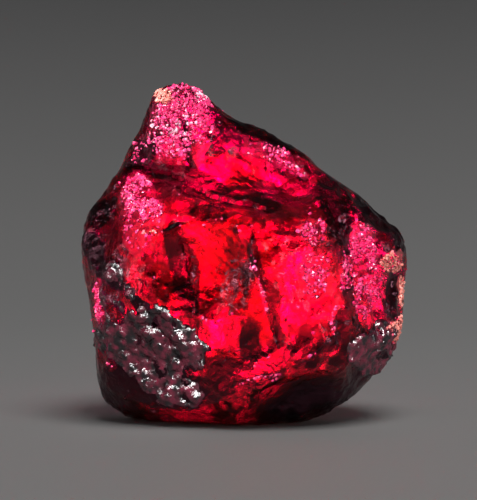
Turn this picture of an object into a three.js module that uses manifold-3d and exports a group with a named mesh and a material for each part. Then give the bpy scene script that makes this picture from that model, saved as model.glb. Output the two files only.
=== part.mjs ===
// A rough garnet: one broken piece of a single crystal that stands on a natural flat.
//
// The stone is made the way a knapper would make it. A rounded blank has the outline of the finished stone when
// it is seen from the front, and a superelliptic depth. Flakes are then struck off it one after the other. Each
// leaves the shallow bowl that a brittle crystal leaves, because garnet has no cleavage and breaks in shells.
//
// Frame: millimetres, +Z up, the front of the stone faces -Y. The origin is under the middle of the stone, on
// the surface that it stands on.
import * as THREE from "three";
import { mergeVertices } from "three/addons/utils/BufferGeometryUtils.js";
import Module from "manifold-3d";

// ---- the blank ----
const FRONT_DEPTH = 9.6; // from the plane of the outline to the front of the blank
const BACK_DEPTH = 9.2; // and to its back
const BULGE = 2.3; // exponent of the superellipse: 2 is an ellipse, more is boxier
const HEART = new THREE.Vector3(0, 0, 13); // the outline is star-shaped about this point
const BLANK_DETAIL = 11; // subdivisions of the icosahedron that becomes the blank
const OUTLINE_STEPS = 720; // samples along the outline's curve
const LUMP_SIZE = 0.16; // how far the lumps of the blank stand out

// The outline from the front, x and z, clockwise from the tip. It runs on under z = 0, where the base is cut.
const OUTLINE = [
  [-4.7, 28.3], [-3.8, 28.0], [-3.0, 26.9], [-2.0, 26.0], [-0.5, 24.8], [2.2, 23.9], [5.0, 22.3], [6.0, 21.0],
  [6.8, 20.5], [9.9, 18.4], [12.0, 16.6], [13.3, 14.7], [13.7, 13.0], [13.75, 11.2], [13.1, 8.1], [13.1, 7.0],
  [12.6, 5.8], [9.9, 3.1], [7.9, 1.0], [3.5, -1.6], [-1.0, -2.3], [-5.5, -1.6], [-9.9, 0.3], [-11.6, 2.1],
  [-12.1, 6.0], [-12.7, 10.6], [-13.65, 14.0], [-13.65, 15.3], [-13.1, 16.9], [-11.1, 19.7], [-10.4, 21.1],
  [-8.2, 24.5], [-7.6, 26.8], [-6.8, 28.0], [-5.6, 28.3],
];

// ---- the flakes ----
const FACET_STEP = 1.5; // about how wide the triangles of a struck face are
const OUTSIDE = 50; // further from the heart than any part of the stone

// The flakes that shape the front, in the order that they are struck. Each is struck where a line into the
// stone, at x and z, meets what is left of it. It faces the way it says, goes that deep there, and leaves part of
// a bowl: an ellipsoid with half-axes across, along and deep. turn, in degrees, swings it in its own plane.
const FRONT_FLAKES = [
  { name: "left face of the peak", at: [-7.6, 23.6], facing: [-0.52, -0.82, 0.14],
    bowl: [14, 12, 13], turn: 10, depth: 1.9 },
  { name: "right face of the peak", at: [-3.0, 24.2], facing: [0.36, -0.86, 0.3],
    bowl: [11, 14, 12], turn: 0, depth: 1.6 },
  { name: "upper right slope", at: [1.4, 21.8], facing: [0.22, -0.74, 0.62],
    bowl: [15, 9, 10], turn: -26, depth: 2.3 },
  { name: "groove under the peak", at: [-7.2, 20.6], facing: [-0.12, -0.62, 0.76],
    bowl: [7.5, 3, 3.4], turn: -7, depth: 1.3 },
  { name: "shelf under the slope", at: [-1.4, 19.6], facing: [-0.05, -0.8, 0.58],
    bowl: [8.5, 3.6, 4.2], turn: -20, depth: 1.3 },
  { name: "lens under the slope", at: [1.6, 20.6], facing: [0.12, -0.95, 0.28],
    bowl: [6.5, 3.2, 3.6], turn: -26, depth: 0.7 },
  { name: "crease of the peak", at: [-5.2, 23.0], facing: [0.1, -0.97, 0.2],
    bowl: [1.6, 5.2, 2.4], turn: 6, depth: 0.45 },
  { name: "left face", at: [-9.3, 14.4], facing: [-0.6, -0.78, 0.1],
    bowl: [14, 22, 18], turn: 8, depth: 1.5 },
  { name: "lower left face", at: [-7.8, 6.0], facing: [-0.44, -0.86, -0.24],
    bowl: [14, 12, 13], turn: 30, depth: 1.9 },
  { name: "left edge", at: [-11.6, 7.5], facing: [-0.9, -0.42, -0.06],
    bowl: [16, 24, 20], turn: 0, depth: 0.5 },
  { name: "triangle", at: [7.4, 17.4], facing: [0.46, -0.8, 0.38],
    bowl: [8, 12, 12], turn: 10, depth: 1.2 },
  { name: "upper right edge", at: [10.8, 16.2], facing: [0.66, -0.42, 0.62],
    bowl: [10, 14, 14], turn: 20, depth: 0.5 },
  { name: "right face", at: [10.6, 10.6], facing: [0.74, -0.66, 0.04],
    bowl: [16, 16, 18], turn: 0, depth: 1.1 },
  { name: "right centre face", at: [5.3, 11.4], facing: [0.32, -0.94, 0.12],
    bowl: [7, 8, 8], turn: -12, depth: 1.2 },
  { name: "pool under the right centre", at: [3.8, 7.8], facing: [0.16, -0.98, 0.05],
    bowl: [4.6, 4.6, 5], turn: 30, depth: 0.8 },
  { name: "lower right edge", at: [10.4, 4.8], facing: [0.6, -0.6, -0.52],
    bowl: [10, 12, 12], turn: 0, depth: 0.7 },
  { name: "lower right hollow", at: [4.6, 1.9], facing: [0.2, -0.84, -0.5],
    bowl: [9, 5.6, 7], turn: 18, depth: 2.0 },
  { name: "foot", at: [-5.0, 0.9], facing: [-0.08, -0.74, -0.66],
    bowl: [20, 10, 12], turn: 0, depth: 0.9 },
  { name: "great bowl", at: [-2.8, 13.0], facing: [-0.06, -0.98, 0.04],
    bowl: [5, 6, 5], turn: -8, depth: 2.2 },
  { name: "lower bowl", at: [-1.6, 6.6], facing: [-0.04, -0.99, 0.02],
    bowl: [4.6, 4.2, 4.4], turn: 20, depth: 1.3 },
  { name: "band over the right centre", at: [3.8, 16.6], facing: [0.2, -0.9, 0.36],
    bowl: [6, 3.4, 4], turn: -34, depth: 0.9 },
];

// The flakes that shape the sides and the back. Each is struck from outside, at an azimuth about the heart (0
// is the front and 90 the right) and an elevation, and faces back the way that the blow came from.
const OTHER_FLAKES = [
  { name: "back slab", azimuth: 172, elevation: 4, bowl: [42, 42, 42], turn: 0, depth: 2.0 },
  { name: "back right", azimuth: 128, elevation: 10, bowl: [16, 24, 20], turn: 12, depth: 1.6 },
  { name: "back left", azimuth: 226, elevation: -6, bowl: [20, 28, 24], turn: -20, depth: 1.8 },
  { name: "back shoulder", azimuth: 150, elevation: 44, bowl: [20, 12, 14], turn: 25, depth: 1.8 },
  { name: "back of the peak", azimuth: 205, elevation: 48, bowl: [14, 18, 16], turn: 0, depth: 1.6 },
  { name: "back hollow", azimuth: 190, elevation: -22, bowl: [10, 7, 6], turn: 30, depth: 1.5 },
  { name: "back foot", azimuth: 158, elevation: -44, bowl: [18, 14, 16], turn: 0, depth: 1.7 },
  { name: "left flank", azimuth: 268, elevation: 12, bowl: [14, 20, 18], turn: 15, depth: 0.6 },
  { name: "right flank", azimuth: 96, elevation: -14, bowl: [14, 18, 16], turn: -25, depth: 0.6 },
];

// Small shallow flakes that take the ridges down all round, with these ranges of half-axes and depths.
const SMALL_FLAKES = 70;
const SMALL_BOWL = [3.0, 10];
const SMALL_DEPTH = [0.08, 0.26];
const SMALL_TILT = 0.7; // how far a small flake leans off the ridge that it takes down
const RIDGE_REACH = 2.2; // how far a small flake looks round for a ridge
const GOLDEN_ANGLE = Math.PI * (3 - Math.sqrt(5));
const SEED = 15;

const GROUND_SIZE = 80; // a box that holds everything under the surface that the stone stands on

const wasm = await Module();
wasm.setup();

function solidFrom(geometry) {
  const plain = geometry.clone();
  plain.deleteAttribute("normal");
  plain.deleteAttribute("uv");
  const merged = mergeVertices(plain, 1e-4);
  return new wasm.Manifold(
    new wasm.Mesh({
      numProp: 3,
      vertProperties: merged.attributes.position.array,
      triVerts: new Uint32Array(merged.index.array),
    }),
  );
}

function geometryFrom(solid) {
  const { numProp, numVert, vertProperties, triVerts } = solid.getMesh();
  const positions = new Float32Array(numVert * 3);
  for (let i = 0; i < numVert; i++) {
    positions.set(vertProperties.subarray(i * numProp, i * numProp + 3), i * 3);
  }
  const geometry = new THREE.BufferGeometry();
  geometry.setAttribute("position", new THREE.BufferAttribute(positions, 3));
  geometry.setIndex(new THREE.BufferAttribute(triVerts, 1));
  return geometry;
}

// A small repeatable random generator (mulberry32), from 0 to 1.
function randomFrom(seed) {
  let state = seed;
  return () => {
    state = (state + 0x6d2b79f5) | 0;
    let t = Math.imul(state ^ (state >>> 15), 1 | state);
    t = (t + Math.imul(t ^ (t >>> 7), 61 | t)) ^ t;
    return ((t ^ (t >>> 14)) >>> 0) / 4294967296;
  };
}

// How far the outline is from the heart, at any angle in the plane of the outline.
function outlineReach() {
  const points = OUTLINE.map(([x, z]) => new THREE.Vector3(x, 0, z));
  const curve = new THREE.CatmullRomCurve3(points, true, "centripetal");
  const samples = curve.getPoints(OUTLINE_STEPS).map((p) => {
    const fromHeart = p.clone().sub(HEART);
    return [Math.atan2(fromHeart.z, fromHeart.x), Math.hypot(fromHeart.x, fromHeart.z)];
  });
  samples.sort((a, b) => a[0] - b[0]);
  return (angle) => {
    const after = Math.max(0, samples.findIndex(([a]) => a >= angle));
    const [a1, r1] = samples[after];
    const [a0, r0] = samples[(after + samples.length - 1) % samples.length];
    const share = a1 > a0 ? (angle - a0) / (a1 - a0) : 0;
    return r0 + (r1 - r0) * THREE.MathUtils.clamp(share, 0, 1);
  };
}

// Where the rim of the blank lies between front and back: the peak leans back and the left side comes forward.
const rimOffset = (angle) => 1.1 * Math.sin(angle) + 0.7 * Math.cos(angle) + 0.5 * Math.sin(2 * angle + 0.6);

// Slow lumps, from three waves that run in different directions.
function lump({ x, y, z }) {
  const waves = [0.61 * x + 0.37 * z + 1.3, 0.53 * y - 0.44 * z + 0.4, 0.41 * x - 0.57 * y + 2.6];
  return waves.reduce((sum, wave) => sum + Math.sin(wave), 0);
}

function blank() {
  const reach = outlineReach();
  const geometry = new THREE.IcosahedronGeometry(1, BLANK_DETAIL);
  const position = geometry.getAttribute("position");
  const p = new THREE.Vector3();
  for (let i = 0; i < position.count; i++) {
    p.fromBufferAttribute(position, i);
    const angle = Math.atan2(p.z, p.x);
    const inPlane = Math.hypot(p.x, p.z);
    const depth = p.y < 0 ? FRONT_DEPTH : BACK_DEPTH;
    const swell = (inPlane ** BULGE + Math.abs(p.y) ** BULGE) ** (-1 / BULGE);
    const radius = reach(angle) * inPlane * swell;
    const y = depth * p.y * swell + rimOffset(angle) * inPlane;
    p.set(Math.cos(angle) * radius, y, Math.sin(angle) * radius);
    p.add(HEART);
    p.addScaledVector(p.clone().sub(HEART).normalize(), LUMP_SIZE * lump(p) * Math.abs(y) / depth);
    position.setXYZ(i, p.x, p.y, p.z);
  }
  return solidFrom(geometry);
}

const caster = new THREE.Raycaster();

// Where a line from a point along a direction first meets the solid.
function meet(solid, from, along) {
  caster.set(from, along);
  const [hit] = caster.intersectObject(new THREE.Mesh(geometryFrom(solid), new THREE.MeshBasicMaterial()));
  return hit.point;
}

// The corner of the solid near a place that stands out furthest in a direction.
function ridgeNear(solid, place, outwards) {
  const position = geometryFrom(solid).getAttribute("position");
  const corner = new THREE.Vector3();
  const ridge = place.clone();
  for (let i = 0; i < position.count; i++) {
    corner.fromBufferAttribute(position, i);
    const near = corner.distanceTo(place) < RIDGE_REACH;
    if (near && corner.dot(outwards) > ridge.dot(outwards)) ridge.copy(corner);
  }
  return ridge;
}

// An ellipsoid that touches a point from the side that it faces, with triangles about FACET_STEP wide.
function bowlTool(point, facing, [across, along, deep], turn) {
  const size = Math.max(across, along, deep);
  const detail = Math.max(3, Math.round((2.5 * Math.sqrt(size)) / FACET_STEP));
  const geometry = new THREE.IcosahedronGeometry(1, detail);
  geometry.rotateX(size).rotateZ(2 * size).scale(across, along, deep).rotateZ(THREE.MathUtils.degToRad(turn));
  const side = new THREE.Vector3(0, 0, 1).cross(facing).normalize();
  const up = facing.clone().cross(side);
  const centre = point.clone().addScaledVector(facing, deep);
  const placed = new THREE.Matrix4().makeBasis(side, up, facing).setPosition(centre);
  return solidFrom(geometry.applyMatrix4(placed));
}

function strike(solid, place, facing, { bowl, turn, depth }) {
  const deepest = place.clone().addScaledVector(facing, -depth);
  return solid.subtract(bowlTool(deepest, facing, bowl, turn));
}

function strikeFront(solid, flake) {
  const [x, z] = flake.at;
  const place = meet(solid, new THREE.Vector3(x, -OUTSIDE, z), new THREE.Vector3(0, 1, 0));
  return strike(solid, place, new THREE.Vector3(...flake.facing).normalize(), flake);
}

function strikeRound(solid, flake) {
  const [a, e] = [flake.azimuth, flake.elevation].map(THREE.MathUtils.degToRad);
  const outwards = new THREE.Vector3(Math.sin(a) * Math.cos(e), -Math.cos(a) * Math.cos(e), Math.sin(e));
  const place = meet(solid, HEART.clone().addScaledVector(outwards, OUTSIDE), outwards.clone().negate());
  return strike(solid, place, outwards, flake);
}

// Small flakes on ridges near directions that a golden spiral spreads over the ball.
function strikeSmall(solid) {
  const random = randomFrom(SEED);
  const between = ([low, high]) => low + (high - low) * random();
  let left = solid;
  for (let i = 0; i < SMALL_FLAKES; i++) {
    const height = 1 - (2 * i + 1) / SMALL_FLAKES;
    const around = i * GOLDEN_ANGLE + random();
    const flat = Math.sqrt(1 - height * height);
    const outwards = new THREE.Vector3(flat * Math.cos(around), flat * Math.sin(around), height);
    const place = meet(left, HEART.clone().addScaledVector(outwards, OUTSIDE), outwards.clone().negate());
    const tilt = new THREE.Vector3(random() - 0.5, random() - 0.5, random() - 0.5);
    const facing = outwards.clone().addScaledVector(tilt, SMALL_TILT).normalize();
    const flake = {
      bowl: [between(SMALL_BOWL), between(SMALL_BOWL), between(SMALL_BOWL)],
      turn: 180 * random(),
      depth: between(SMALL_DEPTH),
    };
    left = strike(left, ridgeNear(left, place, facing), facing, flake);
  }
  return left;
}

// Everything under the surface that the stone stands on.
function ground() {
  const box = new THREE.BoxGeometry(GROUND_SIZE, GROUND_SIZE, GROUND_SIZE);
  return solidFrom(box.translate(0, 0, -GROUND_SIZE / 2));
}

function roughGarnet() {
  let stone = blank();
  for (const flake of FRONT_FLAKES) stone = strikeFront(stone, flake);
  for (const flake of OTHER_FLAKES) stone = strikeRound(stone, flake);
  stone = strikeSmall(stone).subtract(ground());
  const geometry = geometryFrom(stone);
  geometry.computeBoundingBox();
  const middle = geometry.boundingBox.getCenter(new THREE.Vector3());
  return geometry.translate(-middle.x, -middle.y, 0);
}

const garnetRed = new THREE.MeshStandardMaterial({ color: 0xb00526, roughness: 0.18, metalness: 0 });
const stone = new THREE.Mesh(roughGarnet(), garnetRed);
stone.name = "garnet";

const group = new THREE.Group();
group.add(stone);
export default group;
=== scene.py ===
import math

import bmesh
import bpy
import numpy as np
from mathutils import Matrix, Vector
from mathutils.bvhtree import BVHTree


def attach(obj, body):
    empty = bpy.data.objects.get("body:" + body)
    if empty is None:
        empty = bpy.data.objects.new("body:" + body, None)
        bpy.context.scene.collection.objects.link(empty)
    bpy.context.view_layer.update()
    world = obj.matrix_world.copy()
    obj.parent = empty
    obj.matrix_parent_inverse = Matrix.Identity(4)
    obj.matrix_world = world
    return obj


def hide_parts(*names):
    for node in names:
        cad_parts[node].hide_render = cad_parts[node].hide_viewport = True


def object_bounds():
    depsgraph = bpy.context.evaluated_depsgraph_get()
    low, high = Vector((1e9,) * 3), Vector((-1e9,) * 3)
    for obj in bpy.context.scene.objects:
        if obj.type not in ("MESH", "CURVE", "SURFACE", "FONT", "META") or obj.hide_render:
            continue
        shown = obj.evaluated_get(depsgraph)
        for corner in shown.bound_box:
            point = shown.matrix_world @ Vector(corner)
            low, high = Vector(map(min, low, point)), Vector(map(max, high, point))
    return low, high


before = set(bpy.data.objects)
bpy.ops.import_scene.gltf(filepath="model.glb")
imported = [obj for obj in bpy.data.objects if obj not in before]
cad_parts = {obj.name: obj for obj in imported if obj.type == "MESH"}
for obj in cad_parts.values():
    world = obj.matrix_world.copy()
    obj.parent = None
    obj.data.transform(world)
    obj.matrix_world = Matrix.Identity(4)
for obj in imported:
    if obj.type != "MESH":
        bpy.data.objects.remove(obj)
cad_low, cad_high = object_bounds()

MM = 0.001
HEIGHT = cad_high.z - cad_low.z

# ---- the skin, in millimetres ----
VOXEL = 0.168
RIDGE_ANGLE = math.radians(24)  # CAD edges sharper than this are real ridges, the rest facets of a bowl
ROUNDING = 2  # how often the facets between the ridges are subdivided
SMOOTHING = 2  # how often the even mesh is smoothed before anything is worked into it
SHARP_ANGLE = math.radians(34)  # edges sharper than this are shaded as edges
ON_BASE = 0.02  # points below this height belong to the flat base
STEADY = 1.5  # below this height the skin moves less and less, so that the stone stands flat
GROWN = 0.3  # how far the skin is let out before the chips are struck, which take about as much away again
SWELL = 0.08  # how high the slow swells of the skin stand
SWELL_SIZE = 2.6
RIB = 0.03  # how high the ribs of a great shell fracture stand
RIB_STRAY = 0.6  # how far a rib strays from its circle around the blow
RIB_WIDTH = (0.55, 0.07)  # how wide the first rib is, and how much wider they get with each millimetre
HACKLE = 0.06  # how high the streaks stand that run out from a blow
HACKLE_WIDTH = 0.07  # of their distance from the blow
RIPPLE = 0.045  # how high the fine waves of the whole skin stand
RIPPLE_SIZE = 0.9
FRONT_ENDS = (1.0, 3.0)  # the depths, y, between which the zones of the front fade out
BREAKS_END = (-1.0, 1.0)  # the depths between which the breaks fade out
FOOT_SHADE = (0.8, 8.0)  # the heights between which the painted shade at the foot of the stone fades out
FOOT_SWAY = 2.5  # how far those heights sway

# Zones of the skin. A zone has a seed and ragged edges, and is made of blobs: the middle x, z seen from the
# front, the half-widths, a turn in degrees, and the strength.
ZONES = {
    # sugary and pink
    "crumble": dict(seed=11, ragged=0.35, blobs=[
        (-5.1, 24.6, 2.9, 3.6, 0, 1.0),
        (9.4, 12.2, 2.2, 4.2, 0, 1.0),
        (-8.4, 17.2, 1.9, 3.4, 12, 0.80),
        (4.9, 15.6, 1.6, 1.4, 0, 0.74),
        (2.2, 22.0, 2.4, 1.1, -30, 0.72),
        (-8.2, 22.4, 1.0, 1.6, -40, 0.70),
        (-11.4, 9.0, 0.6, 2.8, 6, 0.80),
        (5.4, 12.4, 1.8, 2.2, 30, 0.74),
        (1.2, 11.6, 0.2, 3.4, 13, 0.8),
        (1.0, 4.2, 2.6, 0.25, 14, 0.85),
        (5.2, 6.0, 1.9, 0.25, 36, 0.85),
        (7.0, 9.0, 0.25, 1.8, -6, 0.8),
        (3.4, 21.4, 3.0, 0.45, -35, 0.72),
    ]),
    # under the glossy grey coat
    "grey": dict(seed=23, ragged=0.35, blobs=[
        (-7.3, 6.4, 3.2, 5.6, 36, 1.0),
        (10.4, 6.0, 1.8, 2.4, -35, 0.8),
        (-10.4, 12.3, 1.0, 0.9, -40, 1.0),
    ]),
    # black and opaque
    "black": dict(seed=31, ragged=0.35, blobs=[
        (-12.4, 14.2, 1.1, 2.3, 24, 0.9),
        (-10.9, 12.2, 1.9, 0.8, -42, 0.8),
        (7.4, 17.0, 1.4, 3.2, 10, 0.75),
        (11.2, 17.0, 2.8, 1.6, -42, 1.0),
        (12.0, 10.5, 0.8, 1.8, 0, 1.0),
        (12.9, 14.8, 0.6, 1.6, 0, 1.0),
        (4.6, 2.2, 4.2, 2.0, 14, 0.7),
    ]),
    # salmon grains
    "peach": dict(seed=47, ragged=0.5, blobs=[
        (12.1, 13.4, 1.0, 1.2, 0, 1.0),
        (13.1, 10.4, 0.6, 1.3, 0, 1.0),
        (12.3, 7.4, 0.9, 1.0, 0, 1.0),
        (-6.6, 27.0, 0.8, 0.6, 0, 1.0),
        (-7.6, 15.5, 0.45, 0.35, 0, 1.0),
    ]),
    # painted shade: a near-black tint, so that almost no light comes through
    "dark": dict(seed=53, ragged=0.5, blobs=[
        (0.8, 24.2, 4.6, 0.8, -29, 0.9),
        (-8.4, 21.9, 1.1, 2.6, -38, 0.85),
        (-7.2, 20.7, 3.6, 0.8, -8, 1.0),
        (-2.2, 18.9, 2.6, 0.6, -32, 1.0),
        (-11.5, 17.2, 1.1, 2.2, -30, 0.8),
        (8.0, 6.6, 1.5, 3.6, -14, 0.95),
        (3.6, 2.4, 4.8, 1.7, 12, 1.0),
        (-8.6, 1.8, 3.0, 1.6, -12, 0.8),
        (-2.5, 17.0, 1.6, 0.7, 6, 1.0),
        (0.1, 7.2, 0.35, 2.2, 4, 0.95),
        (1.1, 6.6, 0.5, 2.0, 10, 0.95),
        (7.3, 17.6, 1.2, 2.6, 8, 0.9),
        (2.4, 9.4, 0.8, 2.6, 12, 0.8),
        (-1.7, 5.2, 2.2, 1.0, -10, 0.85),
        (0.8, 7.4, 0.8, 2.2, 8, 0.60),
        (-5.3, 13.6, 1.1, 3.2, 15, 1.6),
        (-4.3, 9.4, 0.6, 3.2, 0, 1.3),
        (1.6, 11.0, 0.28, 4.6, 13, 0.9),
        (-1.8, 9.8, 2.2, 0.5, 0, 0.45),
    ]),
    # painted shade: a darker scarlet, with dark streaks
    "heart": dict(seed=59, ragged=0.5, blobs=[
        (-2.4, 13.2, 3.4, 4.4, 8, 1.0),
        (1.4, 9.4, 1.2, 3.6, 12, 0.8),
        (-2.0, 4.8, 2.6, 1.6, 0, 0.7),
        (-6.6, 11.6, 1.2, 2.6, 24, 0.7),
        (6.6, 14.8, 1.6, 1.4, 30, 0.7),
        (-1.2, 20.9, 2.4, 1.4, -20, 0.8),
    ]),
    # painted light: a paler pink tint that stands in for a strong glow coming through
    "bright": dict(seed=67, ragged=0.5, blobs=[
        (2.2, 5.2, 4.6, 0.8, 20, 1.0),
        (-1.9, 8.0, 1.6, 1.5, -30, 0.9),
        (4.8, 15.6, 1.6, 1.5, 0, 0.9),
        (2.0, 21.8, 2.4, 1.2, -30, 0.8),
        (4.4, 8.2, 1.5, 3.0, 8, 1.0),
        (-11.3, 8.6, 0.8, 3.4, 8, 1.0),
        (-8.4, 18.8, 1.8, 1.4, -20, 1.0),
        (5.4, 17.0, 1.4, 1.2, -20, 0.7),
        (-8.8, 14.6, 1.3, 2.4, 12, 0.8),
    ]),
}
BLOB_EDGE = (0.6, 1.3)  # where a blob starts to fade and where it ends, as shares of its half-widths
WARP_SIZE = 2.2  # the size of the noise that makes the edges of the zones ragged
EDGE = (0.25, 0.60)  # a zone's raw strength where its colour starts and where it is full
SHARDS = 0.4  # how much the edge of a zone follows the chips' own borders
SUGARY = (0.55, 0.95)  # the strength of crumble where the loose crumbs start and where they lie thickest
PEACH_GAPS = dict(size=1.8, seed=188)  # the noise that breaks up the salmon spots

# Breaks: lines along which the front steps, as paths of x, z. A break is cut as a groove with a depth and a
# half-width. The side on the left of its path stands higher, by a step that fades over some way, and the
# crease is darkened there by a painted shade over some way.
BREAKS = [
    dict(  # the ledge under the peak
        path=[
            (-10.6, 21.0), (-7.8, 20.6), (-5.3, 20.0), (-3.7, 19.0), (-1.6, 18.1), (1.5, 17.4), (3.8, 16.6),
        ],
        depth=0.30, width=0.30, step=0.55, fade=2.2, shade=0.9,
    ),
    dict(  # the crevice in the peak
        path=[(-5.3, 25.6), (-4.9, 23.4), (-4.4, 21.6), (-4.0, 20.2)],
        depth=0.35, width=0.25, step=0.0, fade=1.0, shade=0.7,
    ),
    dict(  # the left wall of the great bowl
        path=[(-3.8, 5.4), (-3.8, 8.4), (-3.8, 10.6), (-4.6, 13.1), (-5.6, 16.4)],
        depth=0.22, width=0.60, step=0.45, fade=1.8, shade=1.5,
    ),
    dict(  # the upright rib
        path=[(0.4, 16.2), (0.9, 12.9), (1.6, 11.4), (2.1, 9.1), (2.7, 6.2)],
        depth=0.12, width=0.25, step=0.35, fade=0.7, shade=0.5,
    ),
    dict(  # the arc above the base
        path=[(-2.4, 3.1), (1.3, 3.4), (3.8, 4.2), (5.6, 5.2), (7.1, 6.5), (8.0, 8.2)],
        depth=0.12, width=0.22, step=0.45, fade=1.2, shade=1.2,
    ),
    dict(  # along the grey coat
        path=[(-3.7, 2.7), (-5.3, 6.1), (-6.6, 7.9), (-8.2, 10.2), (-10.2, 12.6)],
        depth=0.15, width=0.22, step=0.45, fade=1.4, shade=0.5,
    ),
    dict(  # the edge of the right flank
        path=[(8.2, 7.6), (8.5, 10.6), (7.7, 14.8), (5.9, 20.2)],
        depth=0.22, width=0.25, step=0.35, fade=1.2, shade=0.8,
    ),
    dict(  # its side branch
        path=[(7.7, 14.8), (8.4, 17.2), (9.0, 19.2)],
        depth=0.20, width=0.25, step=0.0, fade=1.0, shade=0.8,
    ),
]
RAGGED = 0.5  # how far a break strays from its path
RAGGED_SIZE = 1.3
LOW_SHADE = 0.15  # how far the shade of a break reaches over its low side
TAPER = 0.15  # the share of its path over which a break starts and ends

# Blows: where a great shell fracture starts, x, y, z, and how far its ribs run.
BLOWS = [
    (-3.0, -8.0, 19.0, 11.0),
    (6.5, -7.0, 17.0, 10.0),
    (-13.0, -2.0, 9.0, 12.0),
    (4.0, -2.0, 27.0, 9.0),
    (8.0, -4.0, -1.0, 9.0),
    (-4.0, 10.0, 22.0, 16.0),
    (10.0, 8.0, 6.0, 12.0),
]

# Chips on the ridges, from large to small: how many, the radius of their bowls, their depths, how far they
# lean, and the height of their ribs.
CHIPS = [
    dict(count=400, radius=(3.0, 10.0), depth=(0.12, 0.40), lean=0.18, rib=0.012),
    dict(count=1200, radius=(1.5, 6.0), depth=(0.05, 0.16), lean=0.22, rib=0.008),
    dict(count=3000, radius=(0.8, 3.0), depth=(0.03, 0.08), lean=0.30, rib=0.0),
]
BATCHES = 6
REACH = (1.5, 0.25)  # a chip can reach this far, and this share of its radius further
FULL_REACH = 0.9  # a chip that fills more than this share of its reach is left out
STRAY = 4.0  # a chip that would sink a point this many times its own depth is left out
RIBS = (6, 11)  # how closely the ribs of a chip follow each other
DEEPEST = 0.6  # a place that has sunk this far takes no more chips
OFF_RIDGE = 0.012  # how likely a place on a plain face is to take a chip, against one on a ridge
SCAR_SIZE = 1.9  # the size of the patches that have a shade of their own where no chip was struck

# Grain of the rough skin, for each zone: the size of its facets, and how far they tilt.
GRAIN = {
    "crumble": [(1.15, 0.13), (0.62, 0.15)],
    "peach": [(0.8, 0.10), (0.45, 0.10)],
    "grey": [(1.9, 0.20), (0.95, 0.16)],
    "black": [(2.2, 0.12)],
    "heart": [(1.6, 0.04)],
    "bright": [(1.3, 0.06)],
}

# ---- what is sealed in the stone and what lies on it, in millimetres ----
# Veils: healed cracks sealed in the crystal. Each is a bent sheet with its middle x, y, z, its half-widths,
# the azimuth and elevation that it faces, and how far its edges bend away.
VEILS = [
    dict(at=(-6.5, -3.0, 13.0), size=(3.2, 5.0), facing=(-25, 12), bend=0.10),
    dict(at=(-2.5, -1.0, 13.5), size=(4.6, 4.0), facing=(8, -18), bend=0.08),
    dict(at=(1.0, 0.5, 21.0), size=(4.5, 2.6), facing=(15, 30), bend=-0.08),
    dict(at=(4.8, -3.4, 9.4), size=(3.2, 4.4), facing=(20, 8), bend=0.09),
    dict(at=(0.5, 0.0, 8.0), size=(4.8, 3.4), facing=(-12, -28), bend=0.07),
    dict(at=(-6.0, 0.0, 22.0), size=(2.4, 3.0), facing=(-10, 14), bend=0.05),
    dict(at=(8.5, -1.0, 12.0), size=(2.6, 4.2), facing=(48, 0), bend=0.06),
    dict(at=(-8.5, 1.5, 7.0), size=(3.0, 4.0), facing=(-42, -8), bend=-0.06),
    dict(at=(2.0, 4.0, 14.0), size=(6.5, 6.0), facing=(170, 10), bend=0.04),
    dict(at=(7.5, 2.0, 7.5), size=(3.2, 3.4), facing=(75, -12), bend=0.08),
    dict(at=(5.0, -2.0, 15.6), size=(2.4, 2.4), facing=(25, 20), bend=0.07),
    dict(at=(-8.0, -1.5, 18.4), size=(2.4, 2.4), facing=(-35, 25), bend=0.07),
    dict(at=(1.6, -0.8, 22.4), size=(2.6, 1.4), facing=(15, 35), bend=-0.07),
]
VEIL_STEPS = 66  # the points along each side of a veil
VEIL_WAVE = 0.5  # how far a veil waves
VEIL_WAVE_SIZE = 2.4
VEIL_RAGGED = 0.7  # how ragged its edge is
VEIL_HOLES = -0.12  # where the noise is below this, a veil has a hole
INSET = 0.35  # how deep under the skin a sealed-in piece stays
# A point from which all of these ways lead out through the skin is inside.
LOOKS = [Vector((1, 0.1, 0.2)), Vector((-0.2, 1, 0.1)), Vector((0.1, -0.2, -1))]

SPECKS = 420  # dark grains sealed in the crystal
SPECK_RADIUS = (0.05, 0.14)  # of the smallest and the largest
CRUMBS = 5800  # loose crystal crumbs on the sugary skin
CRUMB_RADIUS = (0.06, 0.19)  # of the smallest and the largest; small ones are far more common
CRUMB_SUNK = 0.3  # of its radius
CRUMB_STRAY = 0.05  # how far it lies from the point of the skin that it was put on
CLUMP_SIZE = 1.3  # the size of the clumps that crumbs lie in
CLUMPED = (-0.30, 0.15)  # the noise between which a bare place turns into a clump
TIP = (24, 27)  # the heights between which the clumps close up at the tip of the peak
CLEAR_OF_FLOOR = 0.5  # crumbs lie higher than this
COAT = 0.20  # how thick the grey coat is
COAT_ROOT = 0.03  # how far the edge of the coat lies under the skin
COAT_PATCH = 1.4  # the size of its thick and thin places
COAT_LUMP = 1.3  # the size of its lumps

# ---- colours: red, green, blue ----
PINK_CLEAR = (1.0, 0.012, 0.30, 1)
RED_CLEAR = (0.14, 0.0005, 0.022, 1)
FLECK_RED = (0.08, 0.0, 0.01, 1)
SCAR_RED = (0.20, 0.0, 0.03, 1)
# painted highlight: a pale pink tint laid along the ridges
RIDGE_HIGHLIGHT_PINK = (1.0, 0.38, 0.50, 1)
# painted shade: the darker scarlet of the heart, and its dark streaks
HEART_SHADE_SCARLET = (0.32, 0.001, 0.012, 1)
HEART_SHADE = (0.010, 0.0, 0.0005, 1)
SUGAR_RED = (0.75, 0.004, 0.09, 1)
SUGAR_PINK = (1.0, 0.16, 0.36, 1)
SHADE_RED = (0.004, 0.0, 0.0008, 1)
GREY_DARK = (0.05, 0.003, 0.012, 1)
GREY_LIGHT = (0.14, 0.03, 0.06, 1)
SKIN_BLACK = (0.02, 0.004, 0.008, 1)
SALMON = (1.0, 0.24, 0.24, 1)
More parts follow.
